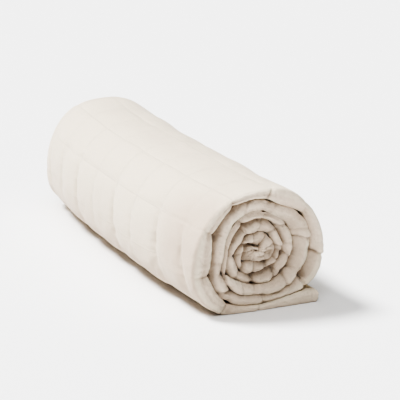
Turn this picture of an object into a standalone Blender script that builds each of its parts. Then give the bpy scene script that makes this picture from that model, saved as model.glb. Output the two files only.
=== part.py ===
"""A quilted weighted blanket, folded double and rolled up, lying on a floor.

Metres, +Z up, with the floor at z = 0. The roll lies along Y. Its near end, at -Y, shows the fold of the
doubled cloth wound into a spiral, and its far end shows the two hemmed edges. The blanket is one piece of
cloth, so it is one solid: a wound band with a small gap between its turns. Seen from the near end it winds
clockwise, from the loose end on the floor at the right to the core.
"""

import math

import bpy
import numpy as np

MM = 0.001

# The quilting, and the roll that it sets the length of. The fold lies part of the way across a pocket.
POCKET = 0.080
RING_SEAMS = 8
FOLD_TO_SEAM = 0.047
HEM_TO_SEAM = 0.028
ROLL_LENGTH = FOLD_TO_SEAM + POCKET * (RING_SEAMS - 1) + HEM_TO_SEAM
RING_SEAM_DEPTH = 0.0018
CROSS_SEAM_DEPTH = 0.0024
RIBS_A_POCKET = 4

# The winding. An angle grows along the band from the loose end inwards, and is 0 at 3 o'clock, 90 at 6.
CORE_HEIGHT = 0.093
COLUMNS_A_TURN = 28
COLUMN_DEG = 360.0 / COLUMNS_A_TURN
CROSS_SEAM_DEG = 4 * COLUMN_DEG
CROSS_SEAM_STEP_DEG = 3 * COLUMN_DEG
LOOSE_END_DEG = 43.0
CORE_END_DEG = 2100.0
TURN_GAP = 0.0016
CORE_SLIT = 0.0015
CORE_STEP_DEG = 45.0
LOOSE_END_HEIGHT = 0.019
LOOSE_END_LEAN_DEG = 7.0
LOOSE_END_REACH_DEG = 26.0

# How far each turn's outer face lies from the core, in mm, under the hour that it points to on a clock
# seen from the near end. A row is a turn, the outermost first. The floor cuts the first row off.
FIRST_HOUR_DEG = 30.0
HOUR_DEG = 30.0
TURN_RADII = (
    # 4,   5,   6,   7,   8,   9,  10,  11,  12,   1,   2,   3 o'clock
    (200, 110, 95, 110, 113, 103, 99, 96, 94, 102, 107, 112),
    (114, 91, 84, 88, 85, 75, 79, 82, 81, 77, 89, 89),
    (85, 78, 69, 70, 69, 60, 63, 64, 62, 59, 61, 60),
    (58, 58, 53, 52, 60, 49, 48, 53, 50, 48, 41, 43),
    (40, 34, 35, 38, 37, 35, 29, 30, 28, 30, 28, 30),
    (28, 21, 17, 18, 26, 21, 22, 15, 13, 14, 13, 12),
)

# Where a cross seam draws the cloth in and opens the gap outside a turn, as angles within that turn,
# and how deep in mm. The seams on the outermost face are evenly spaced instead.
PINCHES = (
    # turn, depth, angles
    (2, 5.0, (83, 122, 160, 206, 242, 285, 327, 366)),
    (3, 4.0, (82, 128, 230, 280, 326, 370)),
    (4, 4.0, (42, 92, 151, 236, 305, 373)),
    (5, 3.5, (46, 98, 134, 175, 234, 314)),
    (6, 2.0, (50, 147, 216)),
)

# How far each turn's edge lies back from the roll's two ends, in mm, the outermost turn first.
EDGE_SETBACK_NEAR = (0, 2, 1, 4, 3, 8)
EDGE_SETBACK_FAR = (0, 3, 5, 4, 7, 9)

# The roll isn't straight or even. Each row is a section across it.
SECTIONS = (
    # mm from the near end, mm sideways, width and height against the near end's
    (0, 0, 1.00, 1.00),
    (70, -7, 1.02, 1.00),
    (180, -12, 1.04, 1.00),
    (320, -13, 1.04, 0.99),
    (450, -11, 1.03, 0.98),
    (560, -4, 1.02, 0.98),
    (635, 3, 0.97, 0.97),
)

# The band's edges are round. Each row is a rib near one: mm in from the edge, and the share of the
# band's thickness that is left there.
EDGE_RIBS = ((0.0, 0.30), (2.0, 0.72), (8.0, 1.0))
INNER_RIBS_MM = (30.0, 120.0)
EDGE_LIFT = 0.004

CLOTH_COLOUR = (0.80, 0.76, 0.69, 1.0)
CLOTH_ROUGHNESS = 0.9
SMOOTH_UNDER_DEG = 50.0


def clear_scene():
    for thing in list(bpy.data.objects):
        bpy.data.objects.remove(thing, do_unlink=True)


def smooth_through(at, xs, ys):
    """A curve through the points xs, ys, read at the value or array at, with no overshoot past their ends."""
    xs = np.asarray(xs, float)
    ys = np.asarray(ys, float)
    slope = np.gradient(ys, xs)
    i = np.clip(np.searchsorted(xs, at, side="right") - 1, 0, len(xs) - 2)
    width = xs[i + 1] - xs[i]
    t = np.clip((at - xs[i]) / width, 0.0, 1.0)
    rise = ys[i + 1] - ys[i]
    a = slope[i] * width - rise
    b = rise - slope[i + 1] * width
    return ys[i] + t * rise + t * (1 - t) * ((1 - t) * a + t * b)


def column_angles():
    """The angles of the band's columns. Turn on turn they fall at the same bearings, so no two turns cross."""
    first = math.ceil(LOOSE_END_DEG / COLUMN_DEG + 0.25)
    last = math.floor(CORE_END_DEG / COLUMN_DEG)
    return [LOOSE_END_DEG] + [COLUMN_DEG * k for k in range(first, last + 1)]


def table_radius(angle):
    """The radius that TURN_RADII gives, in metres."""
    radii = [radius for turn in TURN_RADII for radius in turn]
    angles = [FIRST_HOUR_DEG + HOUR_DEG * k for k in range(len(radii))]
    return smooth_through(angle, angles, radii) * MM


def floor_radius(angle, height=0.0):
    """How far the plane at this height is from the core, or infinity where the angle points above it."""
    down = math.sin(math.radians(angle))
    return (CORE_HEIGHT - height) / down if down > 1e-6 else math.inf


def pinch_depth(angle):
    """How far a cross seam opens the gap outside the turn at this angle."""
    for turn, depth, angles in PINCHES:
        for place in angles:
            near = abs(360.0 * (turn - 1) + place - angle) / COLUMN_DEG
            if near < 1.5:
                return depth * MM * (1.0 if near <= 0.5 else 0.2)
    return 0.0


def outer_radius(angle):
    if angle < FIRST_HOUR_DEG + 360.0:
        return min(table_radius(angle), floor_radius(angle))
    return table_radius(angle) - 0.5 * (TURN_GAP + pinch_depth(angle))


def inner_radius(angle):
    """The inner face follows the next turn's outer face, and closes to a slit at the core."""
    below = angle + 360.0
    gap = 0.5 * (TURN_GAP + pinch_depth(below))
    past_end = (below - CORE_END_DEG) / CORE_STEP_DEG
    if past_end > 0.0:
        last = table_radius(CORE_END_DEG) + gap
        return max(CORE_SLIT, last * (1.0 - past_end))
    radius = table_radius(below) + gap
    if angle < LOOSE_END_DEG + LOOSE_END_REACH_DEG:
        radius = max(radius, floor_radius(angle, LOOSE_END_HEIGHT))
    return radius


def band_section(angle):
    """The outer and the inner point of the band at this angle, as (x, z) from the floor under the core."""
    reach = max(0.0, 1.0 - (angle - LOOSE_END_DEG) / LOOSE_END_REACH_DEG)
    inner_angle = angle - LOOSE_END_LEAN_DEG * reach
    points = []
    for bearing, radius in ((angle, outer_radius(angle)), (inner_angle, inner_radius(inner_angle))):
        turn = math.radians(bearing)
        points.append((radius * math.cos(turn), CORE_HEIGHT - radius * math.sin(turn)))
    return np.array(points)


def edge_setback(angle, rows):
    turns = [360.0 * k + 180.0 for k in range(len(rows))]
    return float(smooth_through(angle, turns, rows)) * MM


def rib_places(near, far, dense):
    """The places of a column's ribs along Y, each with the share of the band's thickness left there."""
    ribs = [(near + inset * MM, share) for inset, share in EDGE_RIBS]
    ribs += [(far - inset * MM, share) for inset, share in reversed(EDGE_RIBS)]
    if dense:
        last = RIBS_A_POCKET * (RING_SEAMS - 1)
        ribs += [(FOLD_TO_SEAM + POCKET * k / RIBS_A_POCKET, 1.0) for k in range(-1, last + 1)]
    else:
        ribs += [(near + inset * MM, 1.0) for inset in INNER_RIBS_MM]
        ribs += [(far - inset * MM, 1.0) for inset in INNER_RIBS_MM]
        ribs.append((0.5 * ROLL_LENGTH, 1.0))
    return sorted(ribs)


def near_seam(count):
    """1 on a seam, 0 in the middle of a pocket, for a distance counted in pockets."""
    off = abs(count - round(count)) * 2.0
    return (1.0 - off) ** 2


def quilt_relief(angle, y):
    """How far the quilting draws the outermost face in, at an angle and a place along the roll."""
    ring = RING_SEAM_DEPTH * near_seam((y - FOLD_TO_SEAM) / POCKET)
    cross = CROSS_SEAM_DEPTH * near_seam((angle - CROSS_SEAM_DEG) / CROSS_SEAM_STEP_DEG)
    return max(ring, cross)


def shaped(point, y):
    """The section's point at its place along the roll, with the roll's own bend and unevenness."""
    places, sideways, widths, heights = np.array(SECTIONS, float).T
    at = y / MM
    x = point[0] * smooth_through(at, places, widths) + smooth_through(at, places, sideways) * MM
    return float(x), y, float(point[1] * smooth_through(at, places, heights))


def band_columns():
    """The band's outer and inner columns, each a list of points along Y, from the loose end to the core."""
    outer, inner = [], []
    for angle in column_angles():
        ends = band_section(angle)
        middle = ends.mean(axis=0)
        near = edge_setback(angle, EDGE_SETBACK_NEAR)
        far = ROLL_LENGTH - edge_setback(angle, EDGE_SETBACK_FAR)
        outermost = angle < FIRST_HOUR_DEG + 360.0
        on_floor = ends[0][1] < MM
        for columns, point, quilted in ((outer, ends[0], outermost and not on_floor), (inner, ends[1], False)):
            column = []
            for y, share in rib_places(near, far, columns is outer and outermost):
                place = middle + (point - middle) * share
                if columns is outer and on_floor:
                    place[1] = EDGE_LIFT * (1.0 - share) ** 2
                if quilted:
                    away = (middle - point) / np.linalg.norm(middle - point)
                    place = place + away * quilt_relief(angle, y) * share
                column.append(shaped(place, y))
            columns.append(column)
    return outer, inner


def zip_columns(left, right):
    """Triangles that join two columns of point numbers, whose points need not lie level."""
    triangles = []
    i = j = 0
    while i < len(left) - 1 or j < len(right) - 1:
        step_left = j == len(right) - 1
        if i < len(left) - 1 and not step_left:
            step_left = left[i + 1][1] <= right[j + 1][1]
        if step_left:
            triangles.append((left[i][0], right[j][0], left[i + 1][0]))
            i += 1
        else:
            triangles.append((left[i][0], right[j][0], right[j + 1][0]))
            j += 1
    return triangles


def rolled_band():
    """The points and faces of the whole band: a ring of columns round it, closed at its two edges."""
    outer, inner = band_columns()
    ring = outer + inner[::-1]
    points = []
    numbered = []
    for column in ring:
        numbered.append([(len(points) + k, place[1]) for k, place in enumerate(column)])
        points += column
    faces = []
    for k in range(len(ring)):
        faces += zip_columns(numbered[k], numbered[(k + 1) % len(ring)])
    last = len(ring) - 1
    for k in range(len(outer) - 1):
        a, b, c, d = numbered[k], numbered[k + 1], numbered[last - k - 1], numbered[last - k]
        faces.append((d[0][0], c[0][0], b[0][0], a[0][0]))
        faces.append((a[-1][0], b[-1][0], c[-1][0], d[-1][0]))
    return np.array(points), faces


def cloth_material():
    material = bpy.data.materials.new("undyed_cotton")
    material.use_nodes = True
    shader = material.node_tree.nodes["Principled BSDF"]
    shader.inputs["Base Color"].default_value = CLOTH_COLOUR
    shader.inputs["Roughness"].default_value = CLOTH_ROUGHNESS
    shader.inputs["Metallic"].default_value = 0.0
    return material


def add_blanket():
    points, faces = rolled_band()
    low, high = points.min(axis=0), points.max(axis=0)
    points -= (0.5 * (low[0] + high[0]), 0.5 * (low[1] + high[1]), low[2])
    mesh = bpy.data.meshes.new("blanket_roll")
    mesh.from_pydata(points.tolist(), [], faces)
    mesh.validate()
    mesh.shade_smooth()
    mesh.set_sharp_from_angle(angle=math.radians(SMOOTH_UNDER_DEG))
    mesh.materials.append(cloth_material())
    blanket = bpy.data.objects.new("blanket_roll", mesh)
    bpy.context.scene.collection.objects.link(blanket)
    return blanket


clear_scene()
add_blanket()
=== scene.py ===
"""The looks of a quilted cotton weighted blanket, folded double and rolled up on a pale floor.

The blanket is rebuilt as one closed mesh on the same winding as its solid, with the folded cloth's
facets, creases and seams at its near end, two hemmed layers at its far end, and woven cotton all over.
Lengths are in metres and angles in degrees, unless a comment or a name says otherwise.
"""

import math

import bpy
import numpy as np
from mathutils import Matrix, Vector


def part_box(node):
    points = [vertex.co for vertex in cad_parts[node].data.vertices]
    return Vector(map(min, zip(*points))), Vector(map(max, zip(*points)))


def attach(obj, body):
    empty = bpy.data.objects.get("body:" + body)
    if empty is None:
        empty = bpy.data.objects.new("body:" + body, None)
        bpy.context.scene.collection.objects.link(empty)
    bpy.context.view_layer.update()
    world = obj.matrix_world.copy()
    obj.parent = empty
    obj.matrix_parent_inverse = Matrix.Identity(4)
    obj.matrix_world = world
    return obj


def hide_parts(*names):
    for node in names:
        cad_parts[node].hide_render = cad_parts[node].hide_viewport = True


MM = 0.001
NODE = "blanket_roll"

# The quilting, as in the solid.
POCKET = 0.080
RING_SEAMS = 8
FOLD_TO_SEAM = 0.047
HEM_TO_SEAM = 0.028
ROLL_LENGTH = FOLD_TO_SEAM + POCKET * (RING_SEAMS - 1) + HEM_TO_SEAM
CROSS_SEAM_DEG = 51.43
CROSS_STEP_DEG = 38.57
WRAP_CROSS_SEAMS = 9
WRAP_RADIUS = 0.103

# The winding, as in the solid but for seven radii at the left of the third and fourth turns. An angle
# grows along the band from the loose end inwards, and is 0 at 3 o'clock and 90 at 6 o'clock, seen from
# the near end. A place across the band is 1 on its outer face and -1 on its inner face.
CORE_HEIGHT = 0.093
LOOSE_END_DEG = 43
CORE_END_DEG = 2100
TURN_GAP = 0.0003
CORE_SLIT = 0.0015
CORE_STEP_DEG = 45
LOOSE_HEIGHT = 0.019
LOOSE_LEAN_DEG = 7
LOOSE_REACH_DEG = 26
FIRST_HOUR_DEG = 30
HOUR_DEG = 30
TURN_RADII = (
    # 4,   5,   6,   7,   8,   9,  10,  11,  12,   1,   2,   3 o'clock, in mm, the outermost turn first
    (200, 110, 95, 110, 113, 103, 99, 96, 94, 102, 107, 112),
    (114, 91, 84, 88, 85, 75, 79, 82, 81, 77, 89, 89),
    (85, 78, 69, 70, 63, 54, 56, 61, 62, 59, 61, 60),
    (58, 58, 53, 52, 56, 48, 48, 49, 50, 48, 41, 43),
    (40, 34, 35, 38, 37, 35, 29, 30, 28, 30, 28, 30),
    (28, 21, 17, 18, 26, 21, 22, 15, 13, 14, 13, 12),
)
# Setbacks of the folded edge and of the hems, in mm, one for each turn.
NEAR_SETBACKS = (0, 3, 2, 4, 3, 7)
FAR_SETBACKS = (0, 3, 5, 4, 7, 9)
SECTIONS = (
    # mm from the near end, mm sideways, width and height against the near end's
    (0, 0, 1.00, 1.00),
    (70, -7, 1.02, 1.00),
    (180, -12, 1.04, 1.00),
    (320, -13, 1.04, 0.99),
    (450, -11, 1.03, 0.98),
    (560, -4, 1.02, 0.98),
    (635, 3, 0.97, 0.97),
)
LENGTH_SAMPLES = 12000

# Where the cross seams of the inner turns pinch: they open dark notches between the turns, and draw the
# folded edge into the roll.
PINCHES = (
    # turn, angle in that turn, depth in mm, half width in mm
    (2, 83, 2.5, 10),
    (2, 122, 7.0, 13),
    (2, 160, 6.5, 14),
    (2, 206, 6.5, 16),
    (2, 242, 6.0, 14),
    (2, 285, 3.5, 14),
    (2, 327, 5.5, 15),
    (2, 366, 3.5, 12),
    (3, 33, 5.0, 10),
    (3, 82, 2.5, 9),
    (3, 128, 4.5, 10),
    (3, 152, 5.0, 8),
    (3, 230, 3.5, 10),
    (3, 280, 4.5, 6),
    (3, 326, 4.0, 12),
    (3, 370, 3.0, 10),
    (4, 42, 4.0, 9),
    (4, 92, 5.0, 9),
    (4, 151, 6.5, 11),
    (4, 243, 5.0, 9),
    (4, 305, 4.5, 11),
    (4, 373, 5.0, 12),
    (5, 46, 4.5, 9),
    (5, 98, 3.5, 8),
    (5, 134, 4.5, 7),
    (5, 175, 3.5, 8),
    (5, 234, 3.5, 8),
    (5, 314, 4.0, 9),
    (6, 50, 3.0, 7),
    (6, 147, 3.0, 6),
    (6, 216, 5.0, 7),
)
PINCH_GAIN = 0.75
PINCH_POWER = 1.6
PINCH_PULL = 0.0022
PINCH_PULL_FULL_MM = 6.0
PINCH_PULL_FALL = 2.0

# Creases across the folded edge. Each runs from an angle on the turn's outer side to one on its inner
# side. A positive step leaves the cloth past the crease standing proud, a negative one the cloth before.
CREASES = (
    # turn, outer angle, inner angle, groove in mm, step in mm, half width in mm
    (1, 90, 88, 1.0, 0.6, 4),
    (1, 124, 122, 1.2, 1.0, 5),
    (1, 164, 160, 1.6, -0.8, 5),
    (1, 207, 206, 1.6, 0.8, 5),
    (1, 243, 242, 1.6, -0.8, 5),
    (1, 286, 281, 2.0, 1.8, 4),
    (1, 322, 327, 1.0, -0.8, 6),
    (2, 11, 6, 3.5, -3.5, 4),
    (2, 40, 34, 4.5, 1.6, 4),
    (2, 83, 83, 0.8, 2.2, 3),
    (2, 138, 126, 3.0, 2.6, 4),
    (2, 172, 166, 1.2, -1.2, 6),
    (2, 213, 207, 1.4, 1.4, 6),
    (2, 263, 251, 1.2, 2.0, 4),
    (2, 297, 292, 1.0, 0.8, 4),
    (2, 345, 337, 1.2, 0.9, 3),
    (2, 355, 345, 2.2, -2.6, 3),
    (3, 26, 33, 1.2, 1.0, 4),
    (3, 50, 43, 2.4, -2.0, 4),
    (3, 95, 93, 1.0, 0.8, 4),
    (3, 109, 116, 1.2, 1.5, 3),
    (3, 142, 151, 4.0, -1.6, 4),
    (3, 196, 190, 1.0, 1.2, 5),
    (3, 238, 243, 2.6, 1.6, 5),
    (3, 286, 280, 1.6, -1.2, 4),
    (3, 325, 309, 1.8, -3.4, 4),
    (3, 358, 352, 1.2, 1.2, 4),
    (4, 18, 8, 3.0, -2.0, 4),
    (4, 58, 46, 3.0, 1.8, 4),
    (4, 93, 100, 2.6, -1.8, 4),
    (4, 130, 136, 1.0, 1.2, 4),
    (4, 178, 172, 1.0, -1.2, 5),
    (4, 238, 243, 1.6, 1.6, 4),
    (4, 282, 276, 1.0, -1.0, 5),
    (4, 318, 310, 1.8, 1.6, 4),
    (4, 358, 349, 2.0, -1.6, 4),
    (5, 8, 4, 2.0, -1.8, 3),
    (5, 30, 24, 2.6, 1.2, 4),
    (5, 59, 48, 2.4, -1.8, 4),
    (5, 98, 102, 1.8, 1.4, 3),
    (5, 126, 146, 3.4, -1.6, 3),
    (5, 172, 180, 1.2, 1.4, 4),
    (5, 209, 212, 2.6, 2.0, 3),
    (5, 262, 250, 1.4, -1.6, 4),
    (5, 301, 312, 2.2, 1.8, 3),
    (5, 345, 352, 1.8, -1.4, 3),
    (6, 20, 10, 0.6, 0.0, 3),
    (6, 62, 80, 0.4, 0.0, 2),
    (6, 118, 140, 0.4, 0.0, 2),
    (6, 172, 185, 0.4, 0.0, 3),
    (6, 214, 222, 0.6, 0.0, 3),
    (6, 262, 250, 0.4, 0.0, 3),
    (6, 300, 310, 0.4, 0.0, 3),
)
LEAST_CREASE_RADIUS = 0.02
GROOVE_GAIN = 1.5
GROOVE_NARROWING = 0.7
GROOVE_POWER = 1.2
STEP_GAIN = 1.4
STEP_RAMP = 0.0007
STEP_FADE = 0.016

# The flat facets on each side of the folded edge's crest: where the crest lies at the roll's upper left
# and lower right and on the wrap, how far it wanders, and how far the facets fall away from it. The
# wrap's facets are flatter by these shares on their outer and inner sides.
FACET_SEED = 11
CREST_LOWER = 0.55
CREST_UPPER = -0.50
CREST_LOWER_DEG = 40
CREST_SWING = 0.25
CREST_RISE = 0.0016
DROP = (0.0026, 0.0078)
SMALL_DROP = 0.35
WRAP_CREST = -0.45
WRAP_FACETS_DEG = (250, 380)
WRAP_FLATTER = (0.8, 0.5)
CORE_OUTER_DROP = 0.4

# The flat pieces that the innermost turn's folded edge is crumpled into, and the slit between them.
CORE_FACETS = (
    # mm right of the axis, mm above it, mm back, mm back per mm to the right and per mm up
    (-11, -7, 2.6, -0.12, 0.16),
    (7, -4, -1.4, 0.16, -0.10),
    (4, 18, 1.6, -0.20, -0.14),
    (-12, 15, -0.6, -0.20, -0.10),
    (21, 19, 3.2, 0.10, -0.20),
    (25, 5, 1.6, 0.12, 0.10),
    (22, -9, 3.2, 0.10, 0.20),
    (7, -15, 1.0, -0.15, 0.20),
    (-14, 3, 0.2, -0.25, -0.12),
)
CORE_FACET_BLEND = 0.0011
CORE_SEAM_DEPTH = 0.0022
CORE_SEAM_HALF = 0.0016
CORE_SLIT_LINE = ((-13, 12), (4, 5), (16, 9))
CORE_SLIT_DEPTH = 0.009
CORE_SLIT_HALF = 0.0012
CORE_FROM_DEG = (1765, 1800)
CORE_RIM = (0.75, 0.98)

# Whole stretches of the folded edge that stand back or proud.
RECESSES = (
    # turn, angle in that turn, half width in degrees, how far back in mm
    (2, 193, 50, 2.8),
    (3, 195, 50, -1.5),
    (3, 330, 25, 2.0),
    (4, 60, 50, 1.5),
    (5, 300, 60, -2.0),
    (6, 150, 90, 1.5),
)

# Where the second and third turns press together and their edges meet level.
MERGE_DEG = (150, 178, 300, 335)
MERGE_ACROSS = (0.1, 1.0)
MERGE_LEVEL = 0.0015

# The folded edge's soft relief, and the groove beside the wrap's rim at its left. A bell is a middle
# and a half width.
FOLD_PUFF = 0.0006
FOLD_RIPPLE = 0.0003
RIPPLE_PER_ACROSS = 0.012
RIM_GROOVE = 0.0012
RIM_GROOVE_DEG = (120, 145, 235, 265)
RIM_GROOVE_BELL = (-0.20, 0.16)

# The rounding of the folded edge on its outer and inner sides, as depths into the roll. The wrap has a
# wider shoulder from its lower left round to its end.
WRAP_SHOULDER = 0.0070
WRAP_SHOULDER_DEG = (110, 150, 350, 400)
OUTER_SHOULDER = 0.0011
INNER_SHOULDER = 0.0014
SHOULDER_POWER = 2.6

# The hems at the far end, the slit between the two layers, and the loose end.
HEM_DEPTH = 0.0035
HEM_TAPER = 0.45
HEM_WIDTH = 0.022
HEM_STITCH = 0.011
HEM_WANDER = 0.0016
LAYER_OFFSET = 0.004
SLIT_HALF = 0.06
SLIT_END_HALF = 0.01
SLIT_NARROWS = (0.0, 0.5)
SLIT_DEPTH = 0.050
LAYER_END_ROUND = 0.0045
LAYER_END_LEAST = 0.06
LOOSE_SLIT_LENGTH = 0.030
LOOSE_SLIT_STOP = 0.014

# The quilting on the outermost face: seams pressed in between pillowed pockets, with puckers along them.
RING_GROOVE = 0.0032
RING_PILLOW = 0.0026
RING_GROOVE_HALF = 0.0034
RING_WEIGHTS = (0.7, 1.0, 0.45, 1.0, 0.45, 1.0, 0.5, 0.8)
# The ring seams' drift towards the far end as (angle, mm), and their strength as (angle, share).
RING_DRIFT = (
    (90, -12), (158, -12), (172, -3), (185, 0), (205, 6), (222, 10), (270, 12), (330, 4), (405, 0),
)
RING_STRENGTH = (
    (90, 0.3), (130, 0.4), (152, 1.1), (190, 1.1), (215, 0.50), (240, 0.22), (300, 0.10), (350, 0.3),
    (405, 0.5),
)
CROSS_GROOVE = 0.0008
CROSS_PILLOW = 0.0010
CROSS_EVEN = 0.6
PUCKER = 0.00045
PUCKER_REACH = 0.009
CROSS_PUCKER = 0.6
GATHER_STRETCH = 0.35
UNDULATION = 0.0006
UNDULATION_STRETCH = 0.8
OFF_FLOOR_DEG = (108, 126, 385, 400)
FACE_RELIEF_ACROSS = (0.3, 0.9)
UNDERCUT = 0.0100
UNDERCUT_BELL = (121, 14)
UNDERCUT_ALONG = (0.0, 0.070)

# Soft troughs and ridges drawn over the outermost face.
WRINKLES = (
    # from mm along, angle, to mm along, angle, depth in mm (negative for a ridge), half width in mm
    (47, 182, 26, 152, 1.4, 5),
    (62, 176, 48, 150, -0.8, 8),
    (96, 170, 84, 146, 0.9, 6),
    (118, 160, 150, 142, 1.0, 7),
    (140, 186, 136, 152, -0.7, 8),
    (205, 170, 232, 148, 0.9, 9),
    (262, 168, 300, 146, 0.8, 8),
    (330, 190, 318, 158, 0.6, 9),
    (392, 172, 420, 150, 0.9, 9),
    (470, 196, 462, 160, 0.7, 9),
    (520, 206, 512, 164, 0.9, 9),
    (560, 200, 596, 160, 0.8, 10),
    (20, 214, 70, 232, 0.6, 9),
    (14, 250, 80, 262, 0.5, 10),
    (10, 288, 64, 300, 0.6, 9),
    (250, 286, 330, 304, 0.7, 12),
    (420, 276, 520, 292, 0.6, 14),
)
WRINKLE_GAIN = 1.6

# Sums of waves for soft noise: shortest and longest wave, how many, and a seed.
EDGE_RIPPLES = (0.007, 0.016, 9, 12)
RING_GATHERS = (0.007, 0.015, 10, 5)
CROSS_GATHERS = (0.008, 0.016, 10, 7)
SEAM_UNEVENNESS = (0.10, 0.30, 5, 6)
UNDULATIONS = (0.07, 0.17, 9, 8)
OUTER_HEM_WANDERS = (0.05, 0.14, 6, 9)
INNER_HEM_WANDERS = (0.05, 0.14, 6, 10)

# How much painted shade the cloth carries: 0 has the face's own colour, the fold level the folded edge's
# painted shade, and 1 the crevices' darker painted shade.
FOLD_SHADE_LEVEL = 0.3
# Each facet carries a tone that differs at random, standing in for the facets' different shading.
FACET_TONE = 0.18
TONE_SEED = 13
# Painted shade deepens in crevices, under proud neighbouring turns, along creases and towards the core.
DEEP_SHADE = 0.62
CORE_SHADE = 0.20
CORE_SHADE_DEG = (800, 1400)
CREVICE_DEPTH = (0.0018, 0.0125)
OVERHUNG_SPREAD = (2.2, 0.8)
OVERHUNG_DEPTH = (0.0010, 0.0075)
LEAST_OVERHANG = 0.0001
CREASE_LINE = 0.0013
DEEP_CREASE_MM = 2.6
CREASE_SHADE = 0.75
# The loose end carries less painted shade.
LOOSE_SHADE = 0.35
LOOSE_SHADE_DEG = (105, 135)
LOOSE_TONE = 0.04
LOOSE_TONE_DEG = (90, 130)
# From the wrap's end to the core, painted shade darkens one side of each turn and lightens the other. A
# painted shadow of the rim falls on the second turn's left.
LEAN_SHADE = 0.28
LEAN_FROM_DEG = (360, 420)
RIM_SHADE = 0.50
RIM_SHADE_DEG = (480, 530, 590, 650)
RIM_SHADE_ACROSS = (-0.6, 0.9)
# The wrap's rim carries less painted shade, with a painted dark line beside it at its left, and the wrap
# has painted shade where the next turn covers it, near the near end and along its lower left, and
# underneath.
PALE_RIM_ACROSS = (-0.15, 0.35)
PALE_RIM_DEG = (110, 130)
RIM_LINE_SHADE = 0.38
RIM_LINE_SHADE_DEG = (140, 180, 270, 310)
RIM_LINE_SHADE_BELL = (-0.28, 0.26)
RIM_LIP_ACROSS = (0.50, 0.85)
COVERED_SHADE_ACROSS = (0.9, 1.0)
COVERED_SHADE_DEG = (50, 90)
WRAP_EDGE_DEPTH = 0.020
FACE_ACROSS = (0.5, 1.0)
NEAR_LOW_SHADE = 0.32
NEAR_LOW_SHADE_ALONG = (0.02, 0.20)
NEAR_LOW_SHADE_DEG = (125, 200)
NEAR_LOW_SHADE_END_DEG = (200, 270)
UNDERSIDE_DEG = (111, 123)
UNDERSIDE_SHADE = 0.9
# How far along the roll the near end's painted shade, painted crest highlights and crumpling reach, and how
# far across.
NEAR_END_FADE = (0.014, 0.040)
CREST_HIGHLIGHT_DEPTH = (-0.0030, 0.0020)
CREST_HIGHLIGHT_ACROSS = (0.8, 1.0)
CRUMPLE_FADE = (0.006, 0.030)
LEAST_CRUMPLE = 0.08
WRAP_SMOOTHER = 0.7
WRAP_SMOOTHER_ACROSS = (0.0, 0.8)

# The cloth's colours, the fold and crevice colours being painted shade and the crest colour a painted
# highlight, and how strongly its crests, stitches and patterns tint it and change its gloss.
FACE_COLOUR = (0.755, 0.662, 0.525, 1)
FOLD_SHADE_COLOUR = (0.635, 0.520, 0.408, 1)
CREVICE_SHADE_COLOUR = (0.35, 0.272, 0.203, 1)
CREST_HIGHLIGHT_COLOUR = (0.90, 0.765, 0.62, 1)
THREAD_COLOUR = (0.84, 0.78, 0.70, 1)
CREST_HIGHLIGHT_TINT = 0.6
DENT_SHADE = 0.10
THREAD_TINT = 0.5
SLUB_TINT = 0.025
WEAVE_TINT = 0.03
ROUGHNESS = 0.86
SLUB_ROUGHNESS = 0.05
CREST_ROUGHNESS = -0.08
COTTON_SHADER = {
    "Specular IOR Level": 0.25,
    "Sheen Weight": 0.30,
    "Sheen Roughness": 0.4,
    "Sheen Tint": (1.0, 0.98, 0.95, 1.0),
}

# The cloth's patterns: waves or cells a metre, with a noise's detail, and each bump's height and strength.
WEAVE_PITCH = 0.0007
SLUBS_ACROSS_YARN = 1200.0
SLUBS_ALONG_YARN = 45.0
MOTTLE = (9.0, 4.0)
MOTTLE_TINT = 0.035
CLOUD = (60.0, 3.0)
CLOUD_TINT = 0.012
LUMPS = (38.0, 3.0)
LARGE_CRUMPLES = 62.0
SMALL_CRUMPLES = 190.0
SMALL_CRUMPLE_SHARE = 0.35
CRUMPLE_BUMP = (0.0050, 0.65)
LUMP_BUMP = (0.0012, 0.5)
STITCH_BUMP = (0.0003, 0.8)
SLUB_BUMP = (0.00012, 0.7)
WEAVE_BUMP = (0.00008, 0.6)

# The stitches: their pitch and thread, each stitch's ends as shares of the pitch, the thread's edge and
# the dent's width as shares of the thread, with painted shade in the dent, and the painted fold shade over
# which they fade out.
STITCH_PITCH = 0.0032
STITCH_ENDS = (0.10, 0.16)
THREAD = 0.0006
THREAD_EDGE = (0.25, 0.6)
DENT_WIDTH = 2.6
DENT_DEPTH = 2.0
STITCH_FADE = (0.05, 0.4)

# The stage.
FLOOR_SIZE = 30.0
FLOOR_SHADE = 0.86
FLOOR_ROUGHNESS = 0.9
FLOOR_SPECULAR = 0.1
# Waves a metre of the floor's tint, of its roughness and of its bump, and how strong each of them is.
FLOOR_SCALES = (3.0, 40.0, 900.0)
FLOOR_TINT = 0.004
FLOOR_PATCHES = 0.02
FLOOR_BUMP = (0.0001, 0.2)
SUNS = (
    # name, direction of its light, spread in degrees, strength
    ("overhead", (0.05, 0.10, -1.0), 60.0, 0.80),
    ("key", (0.47, -0.43, -0.90), 16.0, 2.80),
    ("fill", (0.40, 0.55, -1.00), 30.0, 0.46),
)
WORLD_STRENGTH = 0.02
VIEW_LOOK = "AgX - Very High Contrast"
VIEW_EXPOSURE = 0.75
CORE_FROM_LEFT = 0.1224
TARGET_LEFT_OF_CORE = 0.0968
TARGET_HEIGHT = 0.1851
CAMERA_AZIMUTH_DEG = -24.6
CAMERA_ELEVATION_DEG = 17.1
CAMERA_DISTANCE = 3.058
CAMERA_LENS_MM = 190.0
CAMERA_SENSOR_MM = 36.0
CAMERA_REACH = 60.0

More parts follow.
